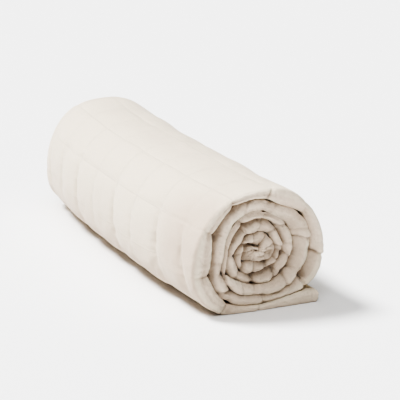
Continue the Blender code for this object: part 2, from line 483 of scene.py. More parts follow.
# How the mesh is laid out: its columns round the winding, and its rows along the roll.
OUTER_WRAP_END_DEG = 405
WRAP_COLUMNS = 250
INSIDE_COLUMNS = 580
COLUMN_SAMPLES = 40000
LEAST_COLUMN_RADIUS = 0.028
CROWDED_HALF = 0.006
CREASE_CROWDING = 1.6
END_CROWDING = 5.0
CORE_CROWDING = 2.4
FOLD_ROWS = 17
HEM_ROWS = 6
SLIT_SHARES = (0.0, 0.2, 0.6, 1.0)
FIRST_ROWS_MM = (0.0, 1.5, 4.0, 8.0, 13.0, 19.0, 24.0, 28.5, 31.2, 32.8)
POCKET_ROWS_MM = (0.0, 1.6, 4.2, 9.0, 16.0, 24.0, 32.0, 40.0, 48.0, 56.0, 64.0, 71.0, 75.8, 78.4)
LAST_ROWS_MM = (0.0, 1.6, 4.2, 9.0, 13.0, 17.0, 20.5, 24.5)
WRAP_BACK_ROWS = 33
ROWS_EASE = 0.05
# Rows of the turns inside, as stretches: the share of the length they end at, and how many.
OUTER_ROWS = ((0.012, 5), (0.05, 5), (0.9, 4), (0.965, 4), (1.0, 6))
INNER_ROWS = ((0.012, 4), (0.05, 4), (0.9, 2), (0.965, 2), (1.0, 5))


# ---- curves and noise ----


def held(value):
    """The value, held between 0 and 1."""
    return np.clip(value, 0.0, 1.0)


def curve(at, xs, ys):
    """A smooth curve through the points xs, ys, read at a value or an array, level past its ends."""
    xs = np.asarray(xs, float)
    ys = np.asarray(ys, float)
    slope = np.gradient(ys, xs)
    i = np.clip(np.searchsorted(xs, at, side="right") - 1, 0, len(xs) - 2)
    width = xs[i + 1] - xs[i]
    t = held((at - xs[i]) / width)
    rise = ys[i + 1] - ys[i]
    a = slope[i] * width - rise
    b = rise - slope[i + 1] * width
    return ys[i] + t * rise + t * (1 - t) * ((1 - t) * a + t * b)


def rises(at, low, high):
    """0 up to low, 1 from high, and a smooth step between them."""
    t = held((at - low) / (high - low))
    return t * t * (3 - 2 * t)


def falls(at, low, high):
    return 1 - rises(at, low, high)


def window(at, start, full, ease, end):
    """1 from full to ease, and 0 before start and past end."""
    return rises(at, start, full) * falls(at, ease, end)


def bell(at, middle, half):
    """1 at the middle, falling to about a third at the half width."""
    return np.exp(-(((at - middle) / half) ** 2))


def blend(share, low, high):
    return low + (high - low) * share


def eased(at, rows):
    """The curve through a table whose rows are (place, value)."""
    return curve(at, *np.array(rows, float).T)


def waves(u, v, shortest, longest, count, seed):
    """Smooth noise of about unit size: a sum of plane waves of random direction and length."""
    random = np.random.default_rng(seed)
    total = np.zeros(np.broadcast(u, v).shape)
    for _ in range(count):
        length = random.uniform(shortest, longest)
        heading = random.uniform(0.0, 2 * np.pi)
        phase = random.uniform(0.0, 2 * np.pi)
        total += np.sin(2 * np.pi * (u * np.cos(heading) + v * np.sin(heading)) / length + phase)
    return total / math.sqrt(0.5 * count)


# ---- the winding ----


def wound(turn, place):
    """An angle in a turn, the outermost being the first, as an angle along the whole winding."""
    return 360.0 * (turn - 1) + place


def table_radius(angle):
    radii = [radius for turn in TURN_RADII for radius in turn]
    angles = [FIRST_HOUR_DEG + HOUR_DEG * k for k in range(len(radii))]
    return curve(angle, angles, radii) * MM


def floor_radius(angle, height=0.0):
    down = np.maximum(np.sin(np.radians(angle)), 1e-6)
    return (CORE_HEIGHT - height) / down


def half_gap(angle):
    """Half of the gap outside the turn at each angle, opened by the cross seams."""
    radius = table_radius(angle)
    opened = np.zeros_like(angle)
    for turn, place, depth, half in PINCHES:
        off = np.radians(np.abs(angle - wound(turn, place))) * radius / (half * MM)
        notch = PINCH_GAIN * depth * MM * held(1.0 - off) ** PINCH_POWER
        opened = np.maximum(opened, notch)
    return 0.5 * (TURN_GAP + opened)


def outer_radius(angle):
    radius = table_radius(angle)
    flattened = np.minimum(radius, floor_radius(angle))
    return np.where(angle < FIRST_HOUR_DEG + 360.0, flattened, radius - half_gap(angle))


def inner_radius(angle):
    below = angle + 360.0
    past_end = held((below - CORE_END_DEG) / CORE_STEP_DEG)
    radius = (table_radius(below) + half_gap(below)) * (1.0 - past_end)
    radius = np.maximum(CORE_SLIT, radius)
    resting = floor_radius(angle, LOOSE_HEIGHT)
    at_loose_end = angle < LOOSE_END_DEG + LOOSE_REACH_DEG
    return np.where(at_loose_end, np.maximum(radius, resting), radius)


def band_section(angle):
    """The outer and the inner points of the band, as x and z from the floor under the core."""
    reach = held(1.0 - (angle - LOOSE_END_DEG) / LOOSE_REACH_DEG)
    inner_angle = angle - LOOSE_LEAN_DEG * reach
    points = []
    for bearing, radius in ((angle, outer_radius(angle)), (inner_angle, inner_radius(inner_angle))):
        turn = np.radians(bearing)
        points.append(np.stack([radius * np.cos(turn), CORE_HEIGHT - radius * np.sin(turn)], axis=-1))
    return points


def edge_setback(angle, rows):
    turns = [360.0 * k + 180.0 for k in range(len(rows))]
    return curve(angle, turns, rows) * MM


def shaped(x, y, z):
    """Bends and tapers the roll along its length."""
    places, sideways, widths, heights = np.array(SECTIONS, float).T
    at = y / MM
    x = x * curve(at, places, widths) + curve(at, places, sideways) * MM
    return np.stack([x, y, z * curve(at, places, heights)], axis=-1)


def length_along(angle):
    """The length of cloth from the loose end to each angle, along the middle of the band."""
    fine = np.linspace(LOOSE_END_DEG, CORE_END_DEG, LENGTH_SAMPLES)
    outer, inner = band_section(fine)
    steps = np.linalg.norm(np.diff(0.5 * (outer + inner), axis=0), axis=1)
    return np.interp(angle, fine, np.concatenate([[0.0], np.cumsum(steps)]))


def column_angles():
    """The columns' angles, the outermost wrap's first, crowded at creases, pinches, core and ends."""
    fine = np.linspace(LOOSE_END_DEG, CORE_END_DEG, COLUMN_SAMPLES)
    radius = np.maximum(table_radius(fine), LEAST_COLUMN_RADIUS)

    def beside(place):
        return bell(np.radians(fine - place) * radius, 0, CROWDED_HALF)

    places = [wound(turn, place) for turn, place, _, _ in PINCHES]
    places += [wound(turn, 0.5 * (start + end)) for turn, start, end, *_ in CREASES]
    crowding = CREASE_CROWDING * np.max([beside(place) for place in places], axis=0)
    crowding += END_CROWDING * (beside(LOOSE_END_DEG) + beside(CORE_END_DEG))
    crowding += CORE_CROWDING * rises(fine, *CORE_FROM_DEG)
    count = np.cumsum(radius * (1 + crowding))
    split = np.searchsorted(fine, OUTER_WRAP_END_DEG)
    wrap = np.interp(np.linspace(count[0], count[split], WRAP_COLUMNS), count, fine)
    inside = np.interp(np.linspace(count[split], count[-1], INSIDE_COLUMNS + 1)[1:], count, fine)
    return np.concatenate([wrap, inside])


# ---- the folded edge at the near end ----


def crease_places():
    """The creases' outer and inner angles over the whole winding, in order."""
    rows = [(wound(turn, outer), wound(turn, inner)) for turn, outer, inner, *_ in CREASES]
    return np.array(sorted(rows, key=sum)).T


def off_crease(angle, across, crease):
    """How far each point is past a crease, along the band."""
    turn, outer, inner, *_ = crease
    place = wound(turn, inner) + (outer - inner) * 0.5 * (1 + across)
    return np.radians(angle - place) * np.maximum(table_radius(angle), LEAST_CREASE_RADIUS)


def lower_share(angle):
    """1 at the roll's lower right and 0 at its upper left. Each fold's crest hangs to that side."""
    return 0.5 + 0.5 * np.cos(np.radians(angle - CREST_LOWER_DEG))


def crest_place(angle):
    """Where the folded edge's crest lies across the band."""
    return blend(lower_share(angle), CREST_UPPER, CREST_LOWER)


def facets(angle, across):
    """How far the folded edge falls back on each side of its wandering crest, as flat pieces that meet
    at the crest and at the creases."""
    random = np.random.default_rng(FACET_SEED)
    outer_places, inner_places = crease_places()
    middle_places = 0.5 * (outer_places + inner_places)

    def drawn(places, low, high):
        return np.interp(angle, places, random.uniform(low, high, len(places)))

    lower = lower_share(angle)
    on_wrap = falls(angle, *WRAP_FACETS_DEG)
    outside_core = falls(angle, *CORE_FROM_DEG)
    crest = crest_place(angle) + CREST_SWING * drawn(middle_places, -1.0, 1.0)
    crest = blend(on_wrap, crest, WRAP_CREST)
    rise = CREST_RISE * drawn(middle_places, -1.0, 1.0)
    outer = drawn(outer_places, *DROP) * (1 - WRAP_FLATTER[0] * on_wrap) * blend(lower, 1, SMALL_DROP)
    outer = outer * blend(outside_core, CORE_OUTER_DROP, 1)
    inner = drawn(inner_places, *DROP) * (1 - WRAP_FLATTER[1] * on_wrap)
    inner = inner * blend(lower, SMALL_DROP, 1) * outside_core
    outward = held((across - crest) / (1 - crest))
    inward = held((crest - across) / (1 + crest))
    return rise + outer * outward + inner * inward


def core_relief(angle, across):
    """How far the innermost turn's flat pieces and slit stand back."""
    outer, inner = band_section(angle)
    share = 0.5 * (1 + across[..., None])
    x, z = np.moveaxis(inner + share * (outer - inner) - (0.0, CORE_HEIGHT), -1, 0)
    gaps = np.array([np.hypot(x - right * MM, z - up * MM) for right, up, *_ in CORE_FACETS])
    weights = np.exp(-(gaps - gaps.min(axis=0)) / CORE_FACET_BLEND)
    nearest, second = np.sort(gaps, axis=0)[:2]
    depth = CORE_SEAM_DEPTH * np.exp(-(second - nearest) / CORE_SEAM_HALF)
    for weight, (right, up, back, tilt_right, tilt_up) in zip(weights / weights.sum(axis=0), CORE_FACETS):
        depth += weight * (back * MM + tilt_right * (x - right * MM) + tilt_up * (z - up * MM))
    slit = np.zeros(x.shape)
    for start, end in zip(CORE_SLIT_LINE, CORE_SLIT_LINE[1:]):
        start, run = np.array(start) * MM, (np.array(end) - start) * MM
        t = held(((x - start[0]) * run[0] + (z - start[1]) * run[1]) / (run @ run))
        off = np.hypot(x - start[0] - t * run[0], z - start[1] - t * run[1])
        slit = np.maximum(slit, bell(off, 0, CORE_SLIT_HALF))
    within = rises(angle, *CORE_FROM_DEG) * falls(across, *CORE_RIM)
    return within * (depth + CORE_SLIT_DEPTH * slit)


def creases(angle, across):
    """How far the creases draw the folded edge into the roll."""
    depth = np.zeros(np.broadcast(angle, across).shape)
    for crease in CREASES:
        *_, groove, step, half = crease
        off = off_crease(angle, across, crease)
        narrow = np.abs(off / (GROOVE_NARROWING * half * MM))
        depth += GROOVE_GAIN * groove * MM * np.exp(-(narrow**GROOVE_POWER))
        depth -= 0.5 * STEP_GAIN * step * MM * np.tanh(off / STEP_RAMP) * np.exp(-np.abs(off) / STEP_FADE)
    return depth


def pinch_pull(angle, across):
    """How far the cross seams draw the folded edge into the roll, most on the side that they pinch."""
    depth = np.zeros(np.broadcast(angle, across).shape)
    for below, side in ((0.0, 1.0), (360.0, -1.0)):
        radius = table_radius(angle + below)
        share = 0.5 * (1 + side * across)
        for turn, place, opening, half in PINCHES:
            off = np.radians(angle + below - wound(turn, place)) * radius / (half * MM)
            fall = np.exp(-(off**2) * PINCH_PULL_FALL)
            depth += PINCH_PULL * opening / PINCH_PULL_FULL_MM * share * fall
    return depth


def edge_relief(angle, across):
    """How far facets, creases, pinches, puffs and ripples move the folded edge into the roll."""
    puff = FOLD_PUFF * (1 - across**2)
    ripples = waves(length_along(angle), across * RIPPLE_PER_ACROSS, *EDGE_RIPPLES)
    groove = RIM_GROOVE * window(angle, *RIM_GROOVE_DEG) * bell(across, *RIM_GROOVE_BELL)
    folds = facets(angle, across) + groove + creases(angle, across) + pinch_pull(angle, across)
    return folds - puff + FOLD_RIPPLE * ripples


def shoulder(across, depth):
    """How far a rounded side of the folded edge falls back, from its middle to the band's face."""
    return depth * (1 - (1 - np.abs(across) ** SHOULDER_POWER) ** (1 / SHOULDER_POWER))


def recess(angle):
    """How far whole stretches of the folded edge stand back."""
    depth = np.zeros(np.shape(angle))
    for turn, place, half, back in RECESSES:
        off = (angle - wound(turn, place)) / half
        depth += back * MM * np.exp(-(off**4))
    return depth


def merged(angle):
    """How far the turn's inner side at this angle meets the next turn level, from 0 to 1."""
    return window(angle, *[wound(2, place) for place in MERGE_DEG])


def folded_edge(angle, across):
    """The place along the roll of the folded edge, for each column and each place across the band."""
    outer_depth = blend(window(angle, *WRAP_SHOULDER_DEG), OUTER_SHOULDER, WRAP_SHOULDER)
    depth = np.where(across > 0, shoulder(across, outer_depth), shoulder(across, INNER_SHOULDER))
    setback = edge_setback(angle, NEAR_SETBACKS)
    edge = setback + depth + recess(angle) + edge_relief(angle, across) + core_relief(angle, across)
    for side, other in ((-1, angle + 360.0), (1, angle - 360.0)):
        share = merged(np.minimum(angle, other)) * rises(side * across, *MERGE_ACROSS)
        level = 0.5 * (setback + edge_setback(other, NEAR_SETBACKS)) + MERGE_LEVEL
        edge = blend(share, edge, level)
    return edge


# ---- the quilted outermost face ----


def near_line(angle, along, wrinkle):
    """How near points are to a wrinkle, from 1 on it to 0 well away, and faded at its two ends."""
    from_along, from_angle, to_along, to_angle, _, half = wrinkle
    mm_per_degree = math.radians(1.0) * WRAP_RADIUS / MM
    start = np.array([from_along, from_angle * mm_per_degree])
    run = np.array([to_along, to_angle * mm_per_degree]) - start
    length = np.linalg.norm(run)
    run = run / length
    du, dv = along / MM - start[0], angle * mm_per_degree - start[1]
    t = du * run[0] + dv * run[1]
    off = du * run[1] - dv * run[0]
    ends = window(t, -half, half, length - half, length + half)
    return bell(off, 0, half) * ends


def pressed(off, groove, rise):
    """How far a seam draws the face in at a distance from it, with the pocket's pillow beside it."""
    pillow = held(1 - 2 * off / POCKET) ** 2
    return groove * np.exp(-off / RING_GROOVE_HALF) + rise * pillow


def ring_place(angle, along, on_wrap):
    """The ring seams' count along the roll: whole numbers fall on the seams. They drift on the wrap."""
    return (along - eased(angle, RING_DRIFT) * MM * on_wrap - FOLD_TO_SEAM) / POCKET


def quilt_relief(angle, along, length):
    """How far the outermost face is drawn in by its seams, wrinkles and folds."""
    count = ring_place(angle, along, True)
    seam = np.clip(np.round(count), 0, RING_SEAMS - 1).astype(int)
    off = np.abs(count - seam) * POCKET
    weight = np.array(RING_WEIGHTS)[seam] * eased(angle, RING_STRENGTH)
    relief = weight * pressed(off, RING_GROOVE, RING_PILLOW)
    gathers = waves(length, along * GATHER_STRETCH, *RING_GATHERS)
    relief += PUCKER * weight * gathers * np.exp(-off / PUCKER_REACH)
    turns = (angle - CROSS_SEAM_DEG) / CROSS_STEP_DEG
    off = np.abs(turns - np.round(turns)) * math.radians(CROSS_STEP_DEG) * WRAP_RADIUS
    uneven = blend(waves(length, along, *SEAM_UNEVENNESS), CROSS_EVEN, 1)
    relief += uneven * pressed(off, CROSS_GROOVE, CROSS_PILLOW)
    gathers = waves(length * GATHER_STRETCH, along, *CROSS_GATHERS)
    relief += CROSS_PUCKER * PUCKER * gathers * np.exp(-off / PUCKER_REACH)
    relief += UNDULATION * waves(length, along * UNDULATION_STRETCH, *UNDULATIONS)
    for wrinkle in WRINKLES:
        *_, depth, _ = wrinkle
        relief += WRINKLE_GAIN * depth * MM * near_line(angle, along, wrinkle)
    undercut = UNDERCUT * bell(angle, *UNDERCUT_BELL) * rises(along, *UNDERCUT_ALONG)
    return relief * window(angle, *OFF_FLOOR_DEG) + undercut


# ---- the mesh ----


def wrap_rows():
    """Places along the outermost wrap's outer face, crowded at its ring seams."""
    first = WRAP_SHOULDER + np.array(FIRST_ROWS_MM) * MM
    pockets = [FOLD_TO_SEAM + POCKET * k + np.array(POCKET_ROWS_MM) * MM for k in range(RING_SEAMS - 1)]
    last = ROLL_LENGTH - HEM_TO_SEAM + np.array(LAST_ROWS_MM) * MM
    return np.concatenate([first, *pockets, last])


def eased_rows(rows, near, far):
    """The same places for each column, drawn to the column's own near and far edges at the two ends."""
    at_near = held(1 - (rows - rows[0]) / ROWS_EASE) ** 2
    at_far = held(1 - (rows[-1] - rows) / ROWS_EASE) ** 2
    return rows + (near - rows[0]) * at_near + (far - rows[-1]) * at_far


def face_across(along, far, side):
    """The band's face as a place across it, nearer the layer's middle at the hem, where it is thinner."""
    left = 1 - HEM_TAPER * falls(far - along, 0.0, HEM_WIDTH)
    return side * (0.5 + 0.5 * left)


def face_rows(near, far, stretches):
    """Places along a face of a turn inside, in stretches of even steps, each (share, count)."""
    shares = [0.0]
    for share, count in stretches:
        shares += list(np.linspace(shares[-1], share, count + 1)[1:])
    return near + np.array(shares) * (far - near)


def band_rows(angle, length, wrapped):
    """The ring of rows round the band for each column, from the near edge of its outer face on, as
    places across it and along the roll, and the numbers of rows on each side."""
    column = angle[:, None]
    one = np.ones_like(column)
    wander = HEM_WANDER * waves(length, 0.0, *OUTER_HEM_WANDERS)[:, None]
    far_outer = ROLL_LENGTH - edge_setback(column, FAR_SETBACKS) + wander
    wander = HEM_WANDER * waves(length, 0.0, *INNER_HEM_WANDERS)[:, None]
    far_inner = far_outer - LAYER_OFFSET + wander
    outer_end = far_outer - HEM_DEPTH
    inner_end = far_inner - HEM_DEPTH
    near_outer = folded_edge(column, one)
    near_inner = folded_edge(column, -one)
    if wrapped:
        back_rows = np.linspace(INNER_SHOULDER, ROLL_LENGTH - HEM_DEPTH, WRAP_BACK_ROWS)
        outward = eased_rows(wrap_rows(), near_outer, outer_end)
        inward = eased_rows(back_rows, near_inner, inner_end)[:, ::-1]
    else:
        outward = face_rows(near_outer, outer_end, OUTER_ROWS)
        inward = face_rows(near_inner, inner_end, INNER_ROWS)[:, ::-1]
    # The outer face, its layer's hem, the slit between the layers, the inner layer's hem and its face.
    turn = np.radians(np.linspace(90, -90, HEM_ROWS + 2)[1:-1])
    layer = 0.5 * (1 - HEM_TAPER)
    hem = 0.5 + layer * np.sin(turn)
    parted = 0.5 - layer
    share = np.array(SLIT_SHARES)
    slit = blend(falls(share, *SLIT_NARROWS), SLIT_HALF, parted)
    slit[-1] = SLIT_END_HALF
    loose = length[:, None] < LOOSE_SLIT_LENGTH
    depth = np.where(loose, far_outer - LOOSE_SLIT_STOP, SLIT_DEPTH) * share
    across = [face_across(outward, far_outer, 1), one * hem, one * slit]
    along = [outward, outer_end + HEM_DEPTH * np.cos(turn), outer_end - depth]
    across += [-one * slit[::-1], -one * hem[::-1], face_across(inward, far_inner, -1)]
    along += [inner_end - depth[:, ::-1], inner_end + HEM_DEPTH * np.cos(turn), inward]
    # The folded edge, back to the outer face.
    turn = np.radians(np.linspace(-90, 90, FOLD_ROWS + 2)[1:-1])
    edge = one * np.sin(turn)
    across.append(edge)
    along.append(folded_edge(column, edge))
    counts = [part.shape[1] for part in along]
    return np.concatenate(across, axis=1), np.concatenate(along, axis=1), counts


def layer_ends(across, length):
    """Rounds off each layer of cloth at the loose end, about its own middle."""
    share = held(length / LAYER_END_ROUND)
    round_off = np.maximum(np.sqrt(1 - (1 - share) ** 2), LAYER_END_LEAST)[:, None]
    side = np.where(across >= 0, 0.5, -0.5)
    return side + (across - side) * round_off


def overhung(angle, across):
    """How much painted shade the turn beside it casts on each place of the folded edge, from 0 to 1. The
    painted shade reaches as far as the neighbour stands proud, and furthest at the roll's upper left."""
    outer, inner = band_section(angle)
    thickness = np.linalg.norm(outer - inner, axis=-1)
    spread = blend(lower_share(angle), *OVERHUNG_SPREAD)
    one = np.ones_like(angle)
    shade = np.zeros(across.shape)
    for side, other in ((1, angle - 360.0), (-1, angle + 360.0)):
        beside = (other > LOOSE_END_DEG) & (other < CORE_FROM_DEG[0])
        behind = folded_edge(angle, side * one) - folded_edge(other, -side * one)
        away = 0.5 * (1 - side * across) * thickness
        reach = held(1 - away / (spread * np.maximum(behind, LEAST_OVERHANG)))
        shade = np.maximum(shade, beside * rises(behind, *OVERHUNG_DEPTH) * reach)
    return shade


def crease_shade(angle, across):
    """How much painted shade lies along each crease of the folded edge, from 0 to 1."""
    shade = np.zeros(np.broadcast(angle, across).shape)
    for crease in CREASES:
        groove = crease[3]
        line = np.exp(-np.abs(off_crease(angle, across, crease)) / CREASE_LINE)
        shade = np.maximum(shade, min(groove / DEEP_CREASE_MM, 1.0) * line)
    return CREASE_SHADE * shade


def edge_painted_shade(angle, across, depth):
    """The painted shade on each place of the folded edge: in its crevices and creases, under its proud
    neighbours, leaning across each turn, and more towards the core, with a random tone on each facet."""
    tones = np.random.default_rng(TONE_SEED).uniform(-1.0, 1.0, (2, len(CREASES) + 1))
    outer_places, inner_places = crease_places()
    outer_tone = tones[0][np.searchsorted(outer_places, angle)]
    inner_tone = tones[1][np.searchsorted(inner_places, angle)]
    tone = FACET_TONE * np.where(across > crest_place(angle), outer_tone, inner_tone)
    # Painted shade in crevices, under proud neighbours and along creases.
    deep = np.maximum(rises(depth, *CREVICE_DEPTH), overhung(angle, across))
    deep = np.maximum(deep, crease_shade(angle, across))
    deep = deep * blend(rises(angle, *LOOSE_SHADE_DEG), LOOSE_SHADE, 1)
    base = blend(rises(angle, *LOOSE_TONE_DEG), LOOSE_TONE, FOLD_SHADE_LEVEL)
    # Painted shade on one side of each turn and painted light on the other, and a painted shadow of the
    # rim.
    lean = LEAN_SHADE * window(angle, *LEAN_FROM_DEG, *CORE_FROM_DEG) * (1 - 2 * lower_share(angle)) * across
    lean = lean + RIM_SHADE * window(angle, *RIM_SHADE_DEG) * rises(across, *RIM_SHADE_ACROSS)
    return base + DEEP_SHADE * deep + tone + lean + CORE_SHADE * rises(angle, *CORE_SHADE_DEG)


def wrap_painted_shade(tone, angle, along, across, near):
    """The folded edge's painted shade on the outermost wrap, with its rim, and the painted shade on the
    wrap's faces.
    """
    tone = np.maximum(tone, 0.0)
    tone = tone * (1 - rises(across, *PALE_RIM_ACROSS) * rises(angle, *PALE_RIM_DEG))
    # A painted dark line beside the rim, and painted shade where the next turn covers the wrap.
    dip = bell(across, *RIM_LINE_SHADE_BELL) - rises(-across, *RIM_LIP_ACROSS)
    tone = tone + RIM_LINE_SHADE * window(angle, *RIM_LINE_SHADE_DEG) * dip
    covered_shade = rises(-across, *COVERED_SHADE_ACROSS) * rises(angle, *COVERED_SHADE_DEG)
    tone = np.where(along > WRAP_EDGE_DEPTH, covered_shade, tone * near)
    # Painted shade on the outer face near the near end and along its lower left, fading out towards the
    # top, and underneath.
    near_low_shade = np.maximum(falls(along, *NEAR_LOW_SHADE_ALONG), falls(angle, *NEAR_LOW_SHADE_DEG))
    near_low_shade = NEAR_LOW_SHADE * near_low_shade * falls(angle, *NEAR_LOW_SHADE_END_DEG)
    underside = UNDERSIDE_SHADE * falls(angle, *UNDERSIDE_DEG)
    return np.maximum(tone, np.maximum(near_low_shade, underside) * rises(across, *FACE_ACROSS))


def cloth_values(angle, length, along, across, wrapped):
    """What the material reads at each point: its place on the cloth, how far it is from the seams and
    hems, how much painted shade and painted crest highlight it carries, and how crumpled it is."""
    one = np.ones_like(along)
    ring = np.clip(ring_place(angle, along, wrapped), -0.5, RING_SEAMS - 0.5)
    hem = np.minimum(ROLL_LENGTH - edge_setback(angle, FAR_SETBACKS) - along, length)
    near = falls(along, *NEAR_END_FADE)
    edge = np.clip(across, -1, 1)
    depth = folded_edge(angle, edge) - edge_setback(angle, NEAR_SETBACKS) - recess(angle)
    # Painted shade on the folded edge, and a painted highlight where it stands proud at the near end.
    fold_shade = edge_painted_shade(angle, edge, depth)
    crest = rises(-depth, *CREST_HIGHLIGHT_DEPTH) * near * falls(np.abs(across), *CREST_HIGHLIGHT_ACROSS)
    crumple = falls(along, *CRUMPLE_FADE)
    if wrapped:
        fold_shade = wrap_painted_shade(fold_shade, angle, along, across, near)
        crumple = crumple * (1 - WRAP_SMOOTHER * rises(across, *WRAP_SMOOTHER_ACROSS))
    fold_shade = held(fold_shade)
    crumple = blend(crumple, LEAST_CRUMPLE, 1)
    cross = seam_counts(angle) * one
    return np.stack([length * one, along, across, ring, cross, hem, fold_shade, crest, crumple], axis=-1)


def band_points(angle, wrapped):
    """The points of a stretch of the band as an array [column, row, xyz], their cloth values, and the
    numbers of rows on each side of the ring."""
    length = length_along(angle)
    across, along, counts = band_rows(angle, length, wrapped)
    outer, inner = band_section(angle)
    across = layer_ends(across, length)
    middle = 0.5 * (outer + inner)
    half = 0.5 * (outer - inner)
    section = middle[:, None] + across[..., None] * half[:, None]
    if wrapped:
        inward = -half / np.linalg.norm(half, axis=1)[:, None]
        relief = quilt_relief(angle[:, None], along, length[:, None])
        relief = relief * rises(across, *FACE_RELIEF_ACROSS)
        section = section + relief[..., None] * inward[:, None]
        section[..., 1] = np.maximum(section[..., 1], 0.0)
    points = shaped(section[..., 0], along, section[..., 1])
    return points, cloth_values(angle[:, None], length[:, None], along, across, wrapped), counts


def ring_quads(first, columns, rows):
    """Quads over a grid of columns whose rows close into a ring."""
    start = first + np.arange(columns - 1)[:, None] * rows
    row = np.arange(rows)
    after = (row + 1) % rows
    quads = np.stack([start + row, start + after, start + rows + after, start + rows + row], axis=-1)
    return quads.reshape(-1, 4).tolist()


def zip_runs(left, right):
    """Triangles that join two runs of vertices, each evenly spaced, whatever their numbers."""
    faces = []
    i = j = 0
    left_at, right_at = np.linspace(0, 1, len(left)), np.linspace(0, 1, len(right))
    while i < len(left) - 1 or j < len(right) - 1:
        left_next = i < len(left) - 1 and (j == len(right) - 1 or left_at[i + 1] <= right_at[j + 1])
        faces.append((left[i], left[i + 1] if left_next else right[j + 1], right[j]))
        i, j = (i + 1, j) if left_next else (i, j + 1)
    return faces


def joined_rings(first, counts, last, inside_counts):
    """Faces that join the wrap's last ring to the first ring inside it, side by side."""
    faces = []
    left_ring = np.arange(first, first + sum(counts))
    right_ring = np.arange(last, last + sum(inside_counts))
    left = right = 0
    for left_count, right_count in zip(counts, inside_counts):
        left_run = np.take(left_ring, range(left, left + left_count + 1), mode="wrap")
        right_run = np.take(right_ring, range(right, right + right_count + 1), mode="wrap")
        faces += zip_runs(left_run.tolist(), right_run.tolist())
        left, right = left + left_count, right + right_count
    return faces


def add_object(name, data):
    added = bpy.data.objects.new(name, data)
    bpy.context.scene.collection.objects.link(added)
    return added


def add_mesh(name, points, faces, material):
    mesh = bpy.data.meshes.new(name)
    mesh.from_pydata(points.tolist(), [], faces)
    mesh.validate()
    mesh.shade_smooth()
    mesh.materials.append(material)
    return add_object(name, mesh)


def seam_counts(angle):
    """The cross seams' count along the band: whole numbers fall on the seams."""
    seams = [CROSS_SEAM_DEG + CROSS_STEP_DEG * k for k in range(WRAP_CROSS_SEAMS)]
    seams += [wound(turn, place) for turn, place, _, _ in PINCHES if wound(turn, place) > seams[-1]]
    seams = np.array(sorted(seams))
    return np.interp(angle, seams, np.arange(len(seams)), left=-0.5)


def add_blanket(material, low, high):
    """The whole roll as one mesh, centred on its solid's box, with its cloth values as attributes."""
    angle = column_angles()
    inside_columns = len(angle) - WRAP_COLUMNS
    wrap_points, wrap_cloth, wrap_counts = band_points(angle[:WRAP_COLUMNS], True)
    points, cloth, counts = band_points(angle[WRAP_COLUMNS:], False)
    ring, inside_ring = sum(wrap_counts), sum(counts)
    offset = WRAP_COLUMNS * ring
    end = offset + (inside_columns - 1) * inside_ring
    faces = ring_quads(0, WRAP_COLUMNS, ring)
    faces += joined_rings(offset - ring, wrap_counts, offset, counts)
    faces += ring_quads(offset, inside_columns, inside_ring)
    faces.append(list(range(ring))[::-1])
    faces.append(list(range(end, end + inside_ring)))
    flat = np.concatenate([wrap_points.reshape(-1, 3), points.reshape(-1, 3)])
    values = [part.reshape(-1, part.shape[-1]) for part in (wrap_cloth, cloth)]
    centre = 0.5 * (flat.min(axis=0) + flat.max(axis=0))
    flat = flat - (centre[0] - 0.5 * (low[0] + high[0]), 0.5 * ROLL_LENGTH - 0.5 * (low[1] + high[1]), 0.0)
    piece = add_mesh("rolled_blanket", flat, faces, material)
    # The third vector carries the painted shade, the painted crest highlight and the crumpling.
    for name, vectors in zip(("cloth", "quilt", "painted_light_and_crumple"), np.split(np.concatenate(values), 3, axis=1)):
        stored = piece.data.attributes.new(name, "FLOAT_VECTOR", "POINT")
        stored.data.foreach_set("vector", vectors.astype(np.float32).ravel())
    return piece


# ---- materials ----


def set_inputs(tree, node, inputs):
    """Sets each named input: a socket is linked to it, and a value is put on it."""
    for name, value in inputs.items():
        if isinstance(value, bpy.types.NodeSocket):
            tree.links.new(value, node.inputs[name])
        else:
            node.inputs[name].default_value = value


def add_node(tree, kind, inputs=None, **settings):
    node = tree.nodes.new("ShaderNode" + kind)
    for name, value in settings.items():
        setattr(node, name, value)
    set_inputs(tree, node, inputs or {})
    return node


def calc(tree, operation, *values):
    return add_node(tree, "Math", dict(enumerate(values)), operation=operation).outputs[0]


def ramp(tree, value, low, high, to_low=0.0, to_high=1.0):
    inputs = {"Value": value, "From Min": low, "From Max": high, "To Min": to_low, "To Max": to_high}
    return add_node(tree, "MapRange", inputs, interpolation_type="SMOOTHSTEP").outputs["Result"]


def noise(tree, place, scale, detail=2.0):
    """Noise about 0, from -1 to 1, in which scale is waves a metre."""
    found = add_node(tree, "TexNoise", {"Vector": place, "Scale": scale, "Detail": detail}).outputs[0]
    return calc(tree, "MULTIPLY_ADD", found, 2.0, -1.0)


def stretched(tree, place, along, across):
    inputs = {0: place, 1: (along, across, 0.0)}
    return add_node(tree, "VectorMath", inputs, operation="MULTIPLY").outputs[0]


def attribute(tree, name):
    """The vector stored on the mesh under this name, and its three numbers."""
    vector = add_node(tree, "Attribute", attribute_name=name).outputs["Vector"]
    return vector, list(add_node(tree, "SeparateXYZ", {0: vector}).outputs)


def seam_distance(tree, count):
    """How far a point is from the nearest of the seams that fall on whole numbers, in metres."""
    off = calc(tree, "SUBTRACT", count, calc(tree, "ROUND", count))
    return calc(tree, "MULTIPLY", calc(tree, "ABSOLUTE", off), POCKET)


def stitch_line(tree, distance, along):
    """Thread and pinched-in cloth of one line of stitches: 1 on a stitch, and 1 in the dent."""
    dash = calc(tree, "PINGPONG", along, 0.5 * STITCH_PITCH)
    dash = ramp(tree, dash, *[share * STITCH_PITCH for share in STITCH_ENDS])
    thread = ramp(tree, distance, *[share * THREAD for share in THREAD_EDGE], 1.0, 0.0)
    return calc(tree, "MULTIPLY", thread, dash), ramp(tree, distance, 0.0, DENT_WIDTH * THREAD, 1.0, 0.0)


